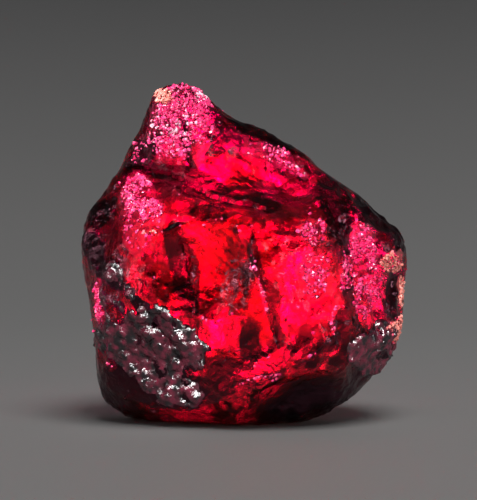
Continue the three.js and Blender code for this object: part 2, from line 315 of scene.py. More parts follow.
# painted shade: darker towards the foot of the stone
FOOT_SHADE_RED = (0.002, 0.0, 0.0003, 1)
# painted light: the paler tint that stands in for a strong glow
PAINTED_GLOW_PINK = (0.85, 0.010, 0.20, 1)
# painted shade: a near-black tint in the creases of the breaks
CREASE_SHADE_RED = (0.006, 0.0, 0.002, 1)
VOLUME_CRIMSON = (0.975, 0.03, 0.64, 1)
GLOSS_RED = (0.80, 0.28, 0.42, 1)
VEIL_RED = (0.75, 0.02, 0.12, 1)
VEIL_PINK = (1.0, 0.35, 0.50, 1)
SPECK_BLACK = (0.02, 0.002, 0.004, 1)
SPECK_RED = (0.12, 0.01, 0.02, 1)
CRUMB_RED = (0.80, 0.004, 0.10, 1)
CRUMB_PINK = (1.0, 0.07, 0.28, 1)
CRUMB_WHITE = (1.0, 0.60, 0.72, 1)
CRUMB_SALMON = (1.0, 0.34, 0.28, 1)
COAT_BLACK = (0.004, 0.002, 0.003, 1)
COAT_RED = (0.09, 0.006, 0.018, 1)
FLOOR_PALE = (0.66, 0.65, 0.64, 1)
WALL_GREY = (0.20, 0.20, 0.205, 1)
SKY = (0.8, 0.82, 0.85, 1)

# ---- optics ----
GARNET_IOR = 1.76
VEIL_IOR = 1.25  # a thin gap in the crystal
CRUMB_IOR = 1.5
COAT_IOR = 1.8
ABSORPTION = 480  # per metre
SEE_THROUGH = (0.94, 0.15)  # the transmission of clear skin, and of the most opaque
VEIL_SEE_THROUGH = 0.55
CRUMB_SEE_THROUGH = 0.4
SKY_STRENGTH = 0.07

# ---- the studio, in metres ----
FLOOR_FLAT = 0.12  # the radius of the flat floor
FLOOR_TURN = 0.40  # the radius of its curve up into the wall
WALL = 0.50
FLOOR_GAP = 0.00002  # how far the floor lies under the stone, so that the two don't meet
FLOOR_STEPS = 96
WALL_SHADE = 0.14  # the height at which the wall is fully grey

# What each group of lamps lights.
LIT = {
    "specimen": ["garnet_stone", "veils", "specks", "crumbs", "coat"],
    "grains": ["crumbs"],
    "grey_coat": ["coat"],
    "studio": ["cove"],
}
# Lamps: the azimuth and elevation that each shines from, its distance from the point that it aims at, its
# sides, its power, and what it lights. Where no aim is given, it is the middle of the stone.
MIDDLE = (0, 0, HEIGHT / 2)
LAMPS = {
    "glow_light": dict(at=(180, 0, 0.028), size=(0.019, 0.0165), power=0.0100, lit="specimen",
                       aim=(-0.0015, 0, 0.0145)),
    "left_glow_light": dict(at=(180, 0, 0.027), size=(0.006, 0.009), power=0.0115, lit="specimen",
                            aim=(-0.0080, 0, 0.0165)),
    "rim_light": dict(at=(180, 0, 0.027), size=(0.004, 0.006), power=0.0045, lit="specimen",
                      aim=(-0.0098, 0, 0.0085)),
    "peak_light": dict(at=(180, 0, 0.026), size=(0.012, 0.008), power=0.0045, lit="specimen",
                       aim=(-0.0030, 0, 0.0222)),
    "back_light": dict(at=(180, 0, 0.20), size=(0.014, 0.014), power=0.14, lit="specimen",
                       aim=(-0.001, 0, 0.0110)),
    "key_light": dict(at=(-58, 26, 0.30), size=(0.03, 0.03), power=0.10, lit="specimen"),
    "left_light": dict(at=(-80, 12, 0.25), size=(0.045, 0.045), power=0.03, lit="specimen"),
    "grain_light": dict(at=(-25, 40, 0.30), size=(0.10, 0.10), power=1.9, lit="grains"),
    "glint_light": dict(at=(-74, 14, 0.30), size=(0.15, 0.15), power=1.5, lit="grains"),
    "coat_light": dict(at=(-24, 34, 0.30), size=(0.08, 0.08), power=1.4, lit="grey_coat"),
    "low_coat_light": dict(at=(-60, -6, 0.30), size=(0.08, 0.08), power=0.9, lit="grey_coat"),
    "right_coat_light": dict(at=(36, 12, 0.30), size=(0.06, 0.06), power=1.7, lit="grey_coat"),
    "spark_light": dict(at=(34, 18, 0.30), size=(0.08, 0.08), power=0.6, lit="grains"),
    "fill_light": dict(at=(62, 22, 0.30), size=(0.05, 0.05), power=0.12, lit="specimen"),
    "room_light": dict(at=(30, 70, 0.60), size=(0.30, 0.30), power=0.9, lit="studio"),
}

# ---- the camera, at the photograph's angle: level with the stone, from the front ----
LENS = 100
SENSOR = 36
CAMERA_ELEVATION = math.radians(1)
FILL = 0.673  # how much of the frame's height the stone fills
CAMERA_AIM = (-0.0171, 0, 0.499)  # of the stone's height


# ---- noise, worked out for many points at once. Each use has a seed of its own. ----
def lattice_random(cell, seed):
    """Three repeatable random numbers from 0 to 1 for each whole-number cell."""
    c = cell.astype(np.uint64)
    h = c[..., 0] * np.uint64(73856093) ^ c[..., 1] * np.uint64(19349663) ^ c[..., 2] * np.uint64(83492791)
    h = (h + np.uint64(seed * 2654435761 % 2**32)) & np.uint64(0xFFFFFFFF)
    out = []
    for _ in range(3):
        h = ((h ^ (h >> np.uint64(16))) * np.uint64(0x45D9F3B)) & np.uint64(0xFFFFFFFF)
        h = ((h ^ (h >> np.uint64(13))) * np.uint64(0x119DE1F3)) & np.uint64(0xFFFFFFFF)
        h = h ^ (h >> np.uint64(16))
        out.append(h.astype(np.float64) / 2**32)
    return np.stack(out, axis=-1)


CORNERS = np.array([(i, j, k) for i in (0, 1) for j in (0, 1) for k in (0, 1)])
AROUND = np.array([(i, j, k) for i in (-1, 0, 1) for j in (-1, 0, 1) for k in (-1, 0, 1)])
ORIGIN = 1000.0  # moves the lattice so that every cell number is above 0


def smooth_noise(points, size, seed):
    """Value noise from -1 to 1 with features about `size` wide."""
    scaled = points / size + ORIGIN
    cell = np.floor(scaled).astype(np.int64)
    f = scaled - cell
    f = f * f * (3 - 2 * f)
    total = np.zeros(len(points))
    for corner in CORNERS:
        weight = np.prod(np.where(corner, f, 1 - f), axis=1)
        total += weight * lattice_random(cell + corner, seed)[:, 0]
    return total * 2 - 1


def fractal(points, size, seed, octaves=4):
    """Noise from about -1 to 1 in ever finer octaves."""
    total = np.zeros(len(points))
    for k in range(octaves):
        total += smooth_noise(points, size / 2**k, seed + 17 * k) / 2**k
    return total / 2


def cells(points, size, seed):
    """For each point: the offset from its nearest cell's middle, the cell's own random numbers, and how far
    the point is from the border with the next cell."""
    scaled = points / size + ORIGIN
    base = np.floor(scaled).astype(np.int64)
    best = np.full(len(points), np.inf)
    second = np.full(len(points), np.inf)
    offset = np.zeros_like(points)
    own = np.zeros_like(points)
    for step in AROUND:
        cell = base + step
        away = scaled - (cell + lattice_random(cell, seed))
        d = np.einsum("ij,ij->i", away, away)
        nearer = d < best
        second = np.where(nearer, best, np.minimum(second, d))
        best = np.where(nearer, d, best)
        offset[nearer] = away[nearer]
        own[nearer] = lattice_random(cell[nearer], seed + 5)
    border = np.sqrt(second) - np.sqrt(best)
    return offset * size, own, border * size


def soft_step(low, high, value):
    t = np.clip((value - low) / (high - low), 0, 1)
    return t * t * (3 - 2 * t)


def dots(a, b):
    """The dot product of each vector of a list with the one in the same place of another."""
    return np.einsum("ij,ij->i", a, b)


# ---- the stone ----
def zone(points, blobs, seed, ragged):
    """How much each point belongs to a zone, from 0 to 1, with ragged edges. Zones lie on the front."""
    warp = np.stack([fractal(points, WARP_SIZE, seed + k) for k in range(2)], axis=1) * 2 * ragged
    inside = np.zeros(len(points))
    for x, z, across, up, turn, strength in blobs:
        a = math.radians(turn)
        dx, dz = points[:, 0] - x, points[:, 2] - z
        u = (dx * math.cos(a) + dz * math.sin(a)) / across
        v = (-dx * math.sin(a) + dz * math.cos(a)) / up
        d = np.hypot(u + warp[:, 0], v + warp[:, 1])
        inside = np.maximum(inside, strength * (1 - soft_step(*BLOB_EDGE, d)))
    front = 1 - soft_step(*FRONT_ENDS, points[:, 1])
    return inside * front


def to_path(flat, path):
    """How far each point of the front is from a path, above 0 on its left, and how far along it is."""
    nearest = np.full(len(flat), np.inf)
    signed = np.zeros(len(flat))
    along = np.zeros(len(flat))
    corners = np.array(path)
    for k, (start, end) in enumerate(zip(corners, corners[1:])):
        way = end - start
        t = np.clip((flat - start) @ way / (way @ way), 0, 1)
        off = flat - start - t[:, None] * way
        far = np.hypot(*off.T)
        left = np.sign(way[0] * off[:, 1] - way[1] * off[:, 0])
        nearer = far < nearest
        nearest = np.where(nearer, far, nearest)
        signed = np.where(nearer, far * left, signed)
        along = np.where(nearer, (k + t) / (len(path) - 1), along)
    return signed, along


def remeshed(node):
    """A copy of a CAD node as an even fine mesh, in millimetres. Its ridges are kept, its facets smoothed."""
    mesh = node.data.copy()
    piece = bpy.data.objects.new("garnet_stone", mesh)
    bpy.context.scene.collection.objects.link(piece)
    bm = bmesh.new()
    bm.from_mesh(mesh)
    bmesh.ops.scale(bm, vec=(1 / MM,) * 3, verts=bm.verts)
    bmesh.ops.remove_doubles(bm, verts=bm.verts, dist=0.001)
    crease = bm.edges.layers.float.new("crease_edge")
    for edge in bm.edges:
        if len(edge.link_faces) == 2 and edge.calc_face_angle() > RIDGE_ANGLE:
            edge[crease] = 1.0
    bm.to_mesh(mesh)
    bm.free()
    rounding = piece.modifiers.new("rounding", "SUBSURF")
    rounding.levels = rounding.render_levels = ROUNDING
    even = piece.modifiers.new("even", "REMESH")
    even.mode = "VOXEL"
    even.voxel_size = VOXEL
    even.use_smooth_shade = True
    fine = bpy.data.meshes.new_from_object(piece.evaluated_get(bpy.context.evaluated_depsgraph_get()))
    piece.modifiers.clear()
    piece.data = fine
    return piece


class Surface:
    """The points of a dense mesh, in millimetres, and what is worked out on them."""

    def __init__(self, mesh):
        self.mesh = mesh
        self.count = len(mesh.vertices)
        points = np.zeros(self.count * 3)
        mesh.vertices.foreach_get("co", points)
        self.points = points.reshape(-1, 3)
        edges = np.zeros(len(mesh.edges) * 2, dtype=np.int64)
        mesh.edges.foreach_get("vertices", edges)
        self.one, self.two = edges.reshape(-1, 2).T
        self.degree = np.bincount(edges, minlength=self.count)
        self.update()

    def update(self):
        """Writes the points to the mesh and reads its normals."""
        self.mesh.vertices.foreach_set("co", self.points.ravel())
        self.mesh.update()
        normals = np.zeros(self.count * 3)
        self.mesh.vertices.foreach_get("normal", normals)
        self.normals = normals.reshape(-1, 3)

    def neighbours(self, column):
        """The sum of a value over the neighbours of each point."""
        first = np.bincount(self.one, column[self.two], self.count)
        return first + np.bincount(self.two, column[self.one], self.count)

    def blurred(self, values, times, share=0.6):
        """The values of the points, each mixed with the mean of its neighbours again and again."""
        for _ in range(times):
            total = np.stack([self.neighbours(column) for column in values.T], axis=1)
            values = (1 - share) * values + share * total / self.degree[:, None]
        return values

    def ridges(self, times=24):
        """How far each point stands out of the surface around it: above 0 on ridges, below 0 in creases."""
        return dots(self.points - self.blurred(self.points, times), self.normals)

    def store(self, name, values):
        """Keeps a value for each point on the mesh, where materials can read it."""
        layer = self.mesh.attributes.new(name, "FLOAT", "POINT")
        layer.data.foreach_set("value", values.astype(np.float32))


def swells(start):
    """Slow swells of the skin, the ribs of the great shell fractures, and the streaks that cross them."""
    first, wider = RIB_WIDTH
    rise = GROWN + SWELL * fractal(start, SWELL_SIZE, 3)
    for k, (*blow, reach) in enumerate(BLOWS):
        from_blow = start - np.array(blow)
        away = np.linalg.norm(from_blow, axis=1)
        wave = (away + RIB_STRAY * fractal(start, SWELL_SIZE, 60 + k)) / (first + wider * away)
        saw = wave - np.floor(wave)
        window = 1 - soft_step(0.6 * reach, reach, away)
        rise += RIB * window * (saw**2 - 0.33)
        streak = np.abs(smooth_noise(from_blow / away[:, None], HACKLE_WIDTH, 80 + k))
        patches = soft_step(0.2, 0.6, fractal(start, 3.0, 90 + k) + 0.4)
        rise += HACKLE * window * (0.3 - streak) * patches
    return rise + RIPPLE * fractal(start, RIPPLE_SIZE, 5, 2)


def cut_breaks(start, normals, rise):
    """Cuts the breaks into rise, which is how far each point moves out, and returns their shades."""
    crease = np.zeros(len(start))
    front = (1 - soft_step(*BREAKS_END, start[:, 1])) * soft_step(0.0, 0.3, -normals[:, 1])
    warp = np.stack([fractal(start, RAGGED_SIZE, 101 + k, 3) for k in range(2)], axis=1)
    strayed = start[:, (0, 2)] + RAGGED * warp
    patches = soft_step(0.15, 0.5, 0.6 + 0.7 * fractal(start, 1.1, 130))
    for cut in BREAKS:
        side, along = to_path(strayed, cut["path"])
        tapered = front * soft_step(0, TAPER, along) * soft_step(0, TAPER, 1 - along)
        groove = tapered * np.exp(-((side / cut["width"]) ** 2))
        rise -= cut["depth"] * groove
        rise += tapered * np.where(side > 0, cut["step"] * np.exp(-side / cut["fade"]), 0)
        # painted shade: how far the dark tint of a break's crease reaches on each side
        shaded = np.where(side > 0, cut["shade"], LOW_SHADE)
        crease = np.maximum(crease, tapered * np.exp(-((side / shaded) ** 2)) * patches)
    return crease


def strike_chips(surface, inwards, sunk, scars, random, count, radius, depth, lean, rib):
    """Presses shallow ellipsoid bowls into the ridges. A point sinks along its own inward line, so that the
    mesh doesn't fold, and takes its last chip's number in scars."""
    for _ in range(BATCHES):
        surface.update()
        chance = soft_step(0.02, 0.16, surface.ridges()) + OFF_RIDGE
        chance[sunk > DEEPEST] = 0
        places = random.choice(surface.count, count // BATCHES, p=chance / chance.sum())
        order = np.argsort(surface.points[:, 0])
        along_x = surface.points[order, 0]
        for place in places:
            facing = surface.normals[place] + lean * random.uniform(-1, 1, 3)
            facing /= np.linalg.norm(facing)
            side = np.cross(facing, random.uniform(-1, 1, 3))
            side /= np.linalg.norm(side)
            a, b = random.uniform(*radius, 2)
            c = 0.5 * (a + b)
            into_bowl = np.stack([side / a, np.cross(facing, side) / b, facing / c], axis=1)
            deep = random.uniform(*depth)
            centre = surface.points[place] + facing * (c - deep)
            reach = REACH[0] + REACH[1] * c
            here = surface.points[place, 0]
            near = order[np.searchsorted(along_x, here - reach):np.searchsorted(along_x, here + reach)]
            near = near[np.linalg.norm(surface.points[near] - surface.points[place], axis=1) < reach]
            at = (surface.points[near] - centre) @ into_bowl
            way = inwards[near] @ into_bowl
            inside = (dots(at, at) < 1) & (inwards[near] @ facing < -0.3)
            hit, at, way = near[inside], at[inside], way[inside]
            if len(hit) == 0:
                continue
            # How far along its line each point leaves the bowl.
            aa, ab, ac = dots(way, way), dots(at, way), dots(at, at) - 1
            sink = (-ab + np.sqrt(ab * ab - aa * ac)) / aa
            far = np.linalg.norm(surface.points[hit] - surface.points[place], axis=1).max()
            if sink.max() > STRAY * deep or far > FULL_REACH * reach:
                continue
            if rib:
                from_blow = np.hypot(at[:, 0] * a - reach, at[:, 1] * b)
                sink += rib * np.sin(from_blow * random.uniform(*RIBS)) * np.clip(sink / 0.05, 0, 1)
            sunk[hit] += sink
            surface.points[hit] += inwards[hit] * sink[:, None]
            scars[hit] = random.uniform()


def grain(points, zones):
    """How far the facets of the rough zones stand out."""
    rise = np.zeros(len(points))
    for k, (name, layers) in enumerate(GRAIN.items()):
        for size, tilt in layers:
            offset, own, border = cells(points, size, 71 + k + int(size * 10))
            facet = dots(offset, own * 2 - 1) / size
            rise += zones[name] * tilt * (facet * 2.0 + 0.8 * own[:, 0]) * soft_step(0, 0.3 * size, border)
    return rise


def shape_skin(surface, start, on_base, zones):
    """Works the breaks, chips and grain into the skin, and returns the shades of the breaks and the chips."""
    outwards = surface.blurred(surface.normals, 3)
    outwards /= np.linalg.norm(outwards, axis=1)[:, None]

    rise = swells(start)
    crease = cut_breaks(start, surface.normals, rise)
    rise *= soft_step(0.0, STEADY, start[:, 2])
    surface.points += outwards * rise[:, None]

    random = np.random.default_rng(7)
    scars = cells(start + 0.5 * fractal(start, 1.5, 160)[:, None], SCAR_SIZE, 61)[1][:, 0]
    sunk = np.zeros(surface.count)
    for chips in CHIPS:
        strike_chips(surface, -outwards, sunk, scars, random, **chips)

    surface.points += outwards * grain(surface.points, zones)[:, None]
    surface.points = surface.blurred(surface.points, 1, 0.25)
    surface.points[on_base & (sunk < 0.01) | (surface.points[:, 2] < 0)] *= (1, 1, 0)
    surface.update()
    return crease, scars


def mark_skin(surface, start, zones, crease, scars):
    """Stores the zones and the other shades of the skin on the mesh, which it also brings to metres."""
    shades = {name: soft_step(*EDGE, values + SHARDS * (scars - 0.5)) for name, values in zones.items()}
    shades["scar"] = scars
    shades["ridge"] = surface.ridges(8)
    shades["crease"] = crease
    # painted shade: darker towards the foot of the stone, below heights that sway
    shades["deep"] = 1 - soft_step(*FOOT_SHADE, start[:, 2] + FOOT_SWAY * fractal(start, 3.0, 140))
    surface.points *= MM
    surface.update()
    surface.mesh.set_sharp_from_angle(angle=SHARP_ANGLE)
    for name, values in shades.items():
        surface.store(name, values)
    return shades


def crumb_chance(points, shades, sugary):
    """How thickly crumbs lie at each point: in clumps on the sugary skin, and on the ridges. Black places,
    grey ones and creases stay bare."""
    tip = 0.4 * soft_step(*TIP, points[:, 2])
    chance = sugary * soft_step(*CLUMPED, fractal(points, CLUMP_SIZE, 190, 3) + tip)
    on_ridges = (0.05 + 0.25 * shades["bright"]) * soft_step(0.03, 0.10, shades["ridge"])
    chance += 0.6 * shades["peach"] + on_ridges
    chance *= 1 - np.maximum.reduce([shades["black"], shades["grey"], shades["crease"]])
    return chance * (points[:, 2] > CLEAR_OF_FLOOR)


def detail_stone(piece):
    """Details the skin of the stone, and adds what is sealed in it or lies on it."""
    surface = Surface(piece.data)
    on_base = surface.points[:, 2] < ON_BASE
    surface.points = surface.blurred(surface.points, SMOOTHING)
    start = surface.points.copy()
    zones = {name: zone(start, **own) for name, own in ZONES.items()}
    zones["peach"] *= soft_step(-0.3, 0.1, fractal(start, **PEACH_GAPS))
    surface.update()
    crease, scars = shape_skin(surface, start, on_base, zones)
    shades = mark_skin(surface, start, zones, crease, scars)

    points = surface.points / MM
    faces = [face.vertices[:] for face in surface.mesh.polygons]
    tree = BVHTree.FromPolygons(points.tolist(), faces)
    veils(tree)
    specks(tree, points.min(axis=0), points.max(axis=0))
    chance = crumb_chance(points, shades, soft_step(*SUGARY, zones["crumble"]))
    crumbs(points, surface.normals, chance, shades["peach"])
    coat(points, surface.normals, np.array(faces), shades["grey"] * soft_step(0.2, STEADY, points[:, 2]))


# ---- what is sealed in the stone, and what lies on it ----
def inside_skin(tree, points):
    """Whether each point lies in the stone, INSET or more under its skin."""
    inside = np.zeros(len(points), dtype=bool)
    for k, point in enumerate(points):
        if tree.find_nearest(point, INSET)[0] is None:
            hits = [tree.ray_cast(point, way) for way in LOOKS]
            inside[k] = all(hit[0] is not None and hit[1].dot(way) > 0 for hit, way in zip(hits, LOOKS))
    return inside


def new_piece(name, points, faces, material):
    """A piece from points in millimetres, which rides with the stone."""
    mesh = bpy.data.meshes.new(name)
    mesh.from_pydata((points * MM).tolist(), [], faces.tolist())
    piece = bpy.data.objects.new(name, mesh)
    bpy.context.scene.collection.objects.link(piece)
    mesh.materials.append(material)
    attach(piece, "root")
    return piece


def facing_way(azimuth, elevation):
    """The direction towards an azimuth, which is 0 at the front and 90 on the right, and an elevation."""
    a, e = math.radians(azimuth), math.radians(elevation)
    return np.array([math.sin(a) * math.cos(e), -math.cos(a) * math.cos(e), math.sin(e)])


def veil(tree, seed, at, size, facing, bend):
    """The points and faces of one veil, with ragged edges and holes."""
    a = math.radians(facing[0])
    out = facing_way(*facing)
    right = np.array([math.cos(a), math.sin(a), 0.0])
    up = np.cross(out, right)
    line = np.linspace(-1, 1, VEIL_STEPS)
    u, v = (grid.ravel() for grid in np.meshgrid(line, line))
    flat = np.array(at) + np.outer(u * size[0], right) + np.outer(v * size[1], up)
    lift = bend * ((u * size[0]) ** 2 + (v * size[1]) ** 2)
    lift += VEIL_WAVE * fractal(flat, VEIL_WAVE_SIZE, seed)
    points = flat + np.outer(lift, out)
    solid = 1 - np.hypot(u, v) + VEIL_RAGGED * fractal(flat, 2.0, seed + 9) > 0.15
    solid &= fractal(flat, 1.1, seed + 13) > VEIL_HOLES
    solid[solid] &= inside_skin(tree, points[solid])
    corners = np.arange(VEIL_STEPS**2).reshape(VEIL_STEPS, VEIL_STEPS)
    quads = np.stack([corners[:-1, :-1], corners[:-1, 1:], corners[1:, 1:], corners[1:, :-1]], axis=-1)
    quads = quads.reshape(-1, 4)
    quads = quads[solid[quads].all(axis=1)]
    used, quads = np.unique(quads, return_inverse=True)
    return points[used], quads.reshape(-1, 4)


def veils(tree):
    """All the healed cracks, as one piece."""
    points, faces, count = [], [], 0
    for k, sheet in enumerate(VEILS):
        own, quads = veil(tree, 200 + 20 * k, **sheet)
        points.append(own)
        faces.append(quads + count)
        count += len(own)
    piece = new_piece("veils", np.concatenate(points), np.concatenate(faces), veil_material())
    piece.data.shade_smooth()


def ball():
    """The corners and sides of a round body."""
    bm = bmesh.new()
    bmesh.ops.create_icosphere(bm, subdivisions=1, radius=1.0)
    corners = np.array([vert.co for vert in bm.verts])
    sides = np.array([[vert.index for vert in face.verts] for face in bm.faces])
    bm.free()
    return corners, sides


def scattered(random, centres, scales, rough):
    """The points and faces of many small balls, each turned its own way. Each corner is moved by up to its
    share, rough, towards the middle or away from it."""
    corners, sides = ball()
    count = len(centres)
    turns = np.linalg.qr(random.normal(size=(count, 3, 3)))[0]
    turns *= np.sign(np.linalg.det(turns))[:, None, None]
    shapes = corners * (1 + rough * random.uniform(-1, 1, (count, len(corners), 1)))
    points = centres[:, None] + (shapes * scales[:, None]) @ turns
    faces = sides + np.arange(count)[:, None, None] * len(corners)
    return points.reshape(-1, 3), faces.reshape(-1, 3)


def specks(tree, low, high):
    """Dark grains sealed in the stone."""
    random = np.random.default_rng(19)
    centres = random.uniform(low, high, (4 * SPECKS, 3))
    centres = centres[inside_skin(tree, centres)][:SPECKS]
    sizes = random.uniform(*SPECK_RADIUS, (len(centres), 1))
    scales = sizes * random.uniform(0.6, 1.7, (len(centres), 3))
    points, faces = scattered(random, centres, scales, 0.35)
    new_piece("specks", points, faces, speck_material())


def store_each(piece, count, **values):
    """Stores values that are the same all over each of the small bodies of a piece."""
    each = len(piece.data.vertices) // count
    for name, numbers in values.items():
        layer = piece.data.attributes.new(name, "FLOAT", "POINT")
        layer.data.foreach_set("value", np.repeat(numbers, each).astype(np.float32))


def crumbs(points, normals, chance, peach):
    """Crumbs of crystal, half sunk in the skin where it is sugary."""
    random = np.random.default_rng(23)
    places = random.choice(len(points), CRUMBS, p=chance / chance.sum())
    at = points[places]
    smallest, largest = CRUMB_RADIUS
    sizes = smallest + (largest - smallest) * random.uniform(size=CRUMBS) ** 3
    scales = sizes[:, None] * random.uniform(0.75, 1.35, (CRUMBS, 3))
    strayed = at + random.uniform(-CRUMB_STRAY, CRUMB_STRAY, (CRUMBS, 3))
    centres = strayed - CRUMB_SUNK * sizes[:, None] * normals[places]
    body, faces = scattered(random, centres, scales, 0.3)
    piece = new_piece("crumbs", body, faces, crumb_material())
    patchy = 0.5 * fractal(at, 1.6, 150)
    # painted highlight: the crumbs turn whiter towards the top of the stone
    tip_highlight = 0.25 * soft_step(18, 24, at[:, 2])
    tone = np.clip(0.75 * random.uniform(size=CRUMBS) + patchy + tip_highlight, 0, 1)
    store_each(piece, CRUMBS, tone=tone, peach=peach[places])


def coat(points, normals, faces, grey):
    """A lumpy coat over the grey skin. Its edges run out under the skin."""
    share = soft_step(0.2, 0.8, grey * (0.9 + 1.1 * fractal(points, COAT_PATCH, 170)))
    used, sides = np.unique(faces[(share[faces] > 0.05).any(axis=1)], return_inverse=True)
    at = points[used]
    offset, own, border = cells(at + 0.3 * smooth_noise(at, 0.5, 174)[:, None], COAT_LUMP, 175)
    lumps = 0.6 + 0.8 * dots(offset, own * 2 - 1) + 0.4 * own[:, 0] + 0.5 * fractal(at, 0.6, 180, 3)
    between = 0.6 + 0.4 * soft_step(0, 0.3, border)
    lift = COAT * share[used] * lumps * between - COAT_ROOT
    piece = new_piece("coat", at + lift[:, None] * normals[used], sides.reshape(-1, 4), coat_material())
    piece.data.shade_smooth()


# ---- materials ----
class Nodes:
    """A short way to write a node tree."""

    def __init__(self, name):
        self.material = bpy.data.materials.new(name)
        self.material.use_nodes = True
        self.tree = self.material.node_tree
        self.shader = self.tree.nodes["Principled BSDF"].inputs

    def put(self, value, socket):
        """Sets a socket to a value, or links another socket to it."""
        if isinstance(value, bpy.types.NodeSocket):
            self.tree.links.new(value, socket)
        else:
            socket.default_value = value

    def shade(self, **values):
        """Puts values on the shader's sockets. An underline stands for a space in a socket's name."""
        for name, value in values.items():
            self.put(value, self.shader[name.replace("_", " ")])

    def add(self, kind, inputs=None, **settings):
        node = self.tree.nodes.new(kind)
        for name, value in settings.items():
            setattr(node, name, value)
        for name, value in (inputs or {}).items():
            self.put(value, node.inputs[name])
        return node

    def where(self):
        """The place of a point on the object, in metres."""
        return self.add("ShaderNodeTexCoord").outputs["Object"]

    def attribute(self, name):
        return self.add("ShaderNodeAttribute", attribute_name=name).outputs["Fac"]

    def mix(self, fac, a, b):
        node = self.add("ShaderNodeMix", data_type="RGBA")
        self.put(fac, node.inputs[0])
        self.put(a, node.inputs[6])
        self.put(b, node.inputs[7])
        return node.outputs[2]

    def math(self, operation, a, b, clamp=False):
        node = self.add("ShaderNodeMath", operation=operation, use_clamp=clamp)
        self.put(a, node.inputs[0])
        self.put(b, node.inputs[1])
        return node.outputs[0]

    def noise(self, size, detail=3.0, distortion=0.0):
        """Noise with features about `size` metres wide."""
        inputs = {"Vector": self.where(), "Scale": 1 / size, "Detail": detail, "Distortion": distortion}
        return self.add("ShaderNodeTexNoise", inputs).outputs["Fac"]

    def streaks(self, across, along, turn):
        """Noise drawn out into streaks that fall to the right by `turn` degrees, seen from the front."""
        rotation = (0, -math.radians(turn), 0)
        turned = self.add("ShaderNodeMapping", {"Vector": self.where(), "Rotation": rotation})
        squeeze = (1 / along, 1 / across, 1 / across)
        squeezed = self.add("ShaderNodeMapping", {"Vector": turned.outputs["Vector"], "Scale": squeeze})
        inputs = {"Vector": squeezed.outputs["Vector"], "Scale": 1.0, "Detail": 4}
        return self.add("ShaderNodeTexNoise", inputs).outputs["Fac"]

    def ramp(self, fac, low, high, low_value=0.0, high_value=1.0):
        """A value that goes from low_value to high_value as fac goes from low to high."""
        inputs = {"Value": fac, "From Min": low, "From Max": high, "To Min": low_value, "To Max": high_value}
        return self.add("ShaderNodeMapRange", inputs).outputs["Result"]

    def bump(self, height, strength, distance, **under):
        """The normal of a bumpy surface, over another's normal if one is given."""
        inputs = {"Height": height, "Strength": strength, "Distance": distance, **under}
        return self.add("ShaderNodeBump", inputs).outputs["Normal"]


def garnet_colour(n, zones, ridge):
    """The tint of the skin, in layers from the clear crystal up to the creases; several are painted light and
    shade.
    """
    mottle = n.ramp(n.noise(0.0019, detail=6, distortion=1.2), 0.36, 0.64)
    fleck = n.ramp(n.noise(0.0008, detail=5, distortion=2.0), 0.56, 0.64, 0.0, 0.85)
    speck = n.noise(0.0004)
    streak = n.ramp(n.streaks(across=0.0005, along=0.0018, turn=35), 0.34, 0.64)
    layers = [
        (fleck, FLECK_RED),
        (n.ramp(zones["scar"], 0.7, 1.0, 0.0, 0.85), SCAR_RED),
        # painted highlight along the ridges
        (n.math("MULTIPLY", ridge, 0.6), RIDGE_HIGHLIGHT_PINK),
        # painted shade over the heart
        (zones["heart"], n.mix(streak, HEART_SHADE_SCARLET, HEART_SHADE)),
        (zones["crumble"], n.mix(speck, SUGAR_RED, SUGAR_PINK)),
        # painted shade of the dark zone
        (zones["dark"], SHADE_RED),
        (zones["grey"], n.mix(speck, GREY_DARK, GREY_LIGHT)),
        (zones["black"], SKIN_BLACK),
        (zones["peach"], SALMON),
        # painted shade at the foot
        (n.ramp(zones["deep"], 0.0, 0.4), FOOT_SHADE_RED),
        # painted glow over the bright zone
        (n.math("MULTIPLY", zones["bright"], 0.6), PAINTED_GLOW_PINK),
        # painted shade in the creases
        (n.ramp(zones["crease"], 0.0, 0.6), CREASE_SHADE_RED),
    ]
    colour = n.mix(mottle, PINK_CLEAR, RED_CLEAR)
    for share, layer in layers:
        colour = n.mix(share, colour, layer)
    return colour


def garnet_material():
    n = Nodes("garnet_crystal")
    absorb = n.add("ShaderNodeVolumeAbsorption", {"Color": VOLUME_CRIMSON, "Density": ABSORPTION})
    n.put(absorb.outputs["Volume"], n.tree.nodes["Material Output"].inputs["Volume"])
    zones = {name: n.attribute(name) for name in (*ZONES, "scar", "deep", "crease")}
    ridge = n.ramp(n.attribute("ridge"), 0.03, 0.11)

    opaque = n.math("MAXIMUM", zones["black"], n.math("MULTIPLY", zones["grey"], 0.85))
    opaque = n.math("MAXIMUM", opaque, n.math("MULTIPLY", zones["crumble"], 0.18))

    roughness = n.ramp(n.noise(0.0012, detail=4), 0.35, 0.70, 0.03, 0.13)
    roughen = [
        (zones["scar"], 0.10), (ridge, 0.30), (zones["crumble"], 0.28), (zones["grey"], 0.06),
        (zones["peach"], 0.35),
    ]
    for share, rough in roughen:
        roughness = n.math("ADD", roughness, n.math("MULTIPLY", share, rough), clamp=True)

    wave = n.bump(n.noise(0.0007, detail=4, distortion=0.6), strength=0.9, distance=0.00016)
    grainy = n.math("MULTIPLY", n.math("ADD", zones["crumble"], zones["grey"]), 0.4)
    strength = n.math("ADD", 0.30, grainy)
    grain_normal = n.bump(n.noise(0.00022, detail=2), strength, distance=0.0001, Normal=wave)
    see_through = n.ramp(opaque, 0.0, 1.0, *SEE_THROUGH)
    n.shade(
        IOR=GARNET_IOR, Specular_Tint=GLOSS_RED, Base_Color=garnet_colour(n, zones, ridge),
        Transmission_Weight=see_through, Roughness=roughness, Normal=grain_normal,
    )
    return n.material


def veil_material():
    n = Nodes("garnet_veil")
    colour = n.mix(n.noise(0.0008, detail=4), VEIL_RED, VEIL_PINK)
    n.shade(Base_Color=colour, Transmission_Weight=VEIL_SEE_THROUGH, IOR=VEIL_IOR, Roughness=0.6)
    return n.material


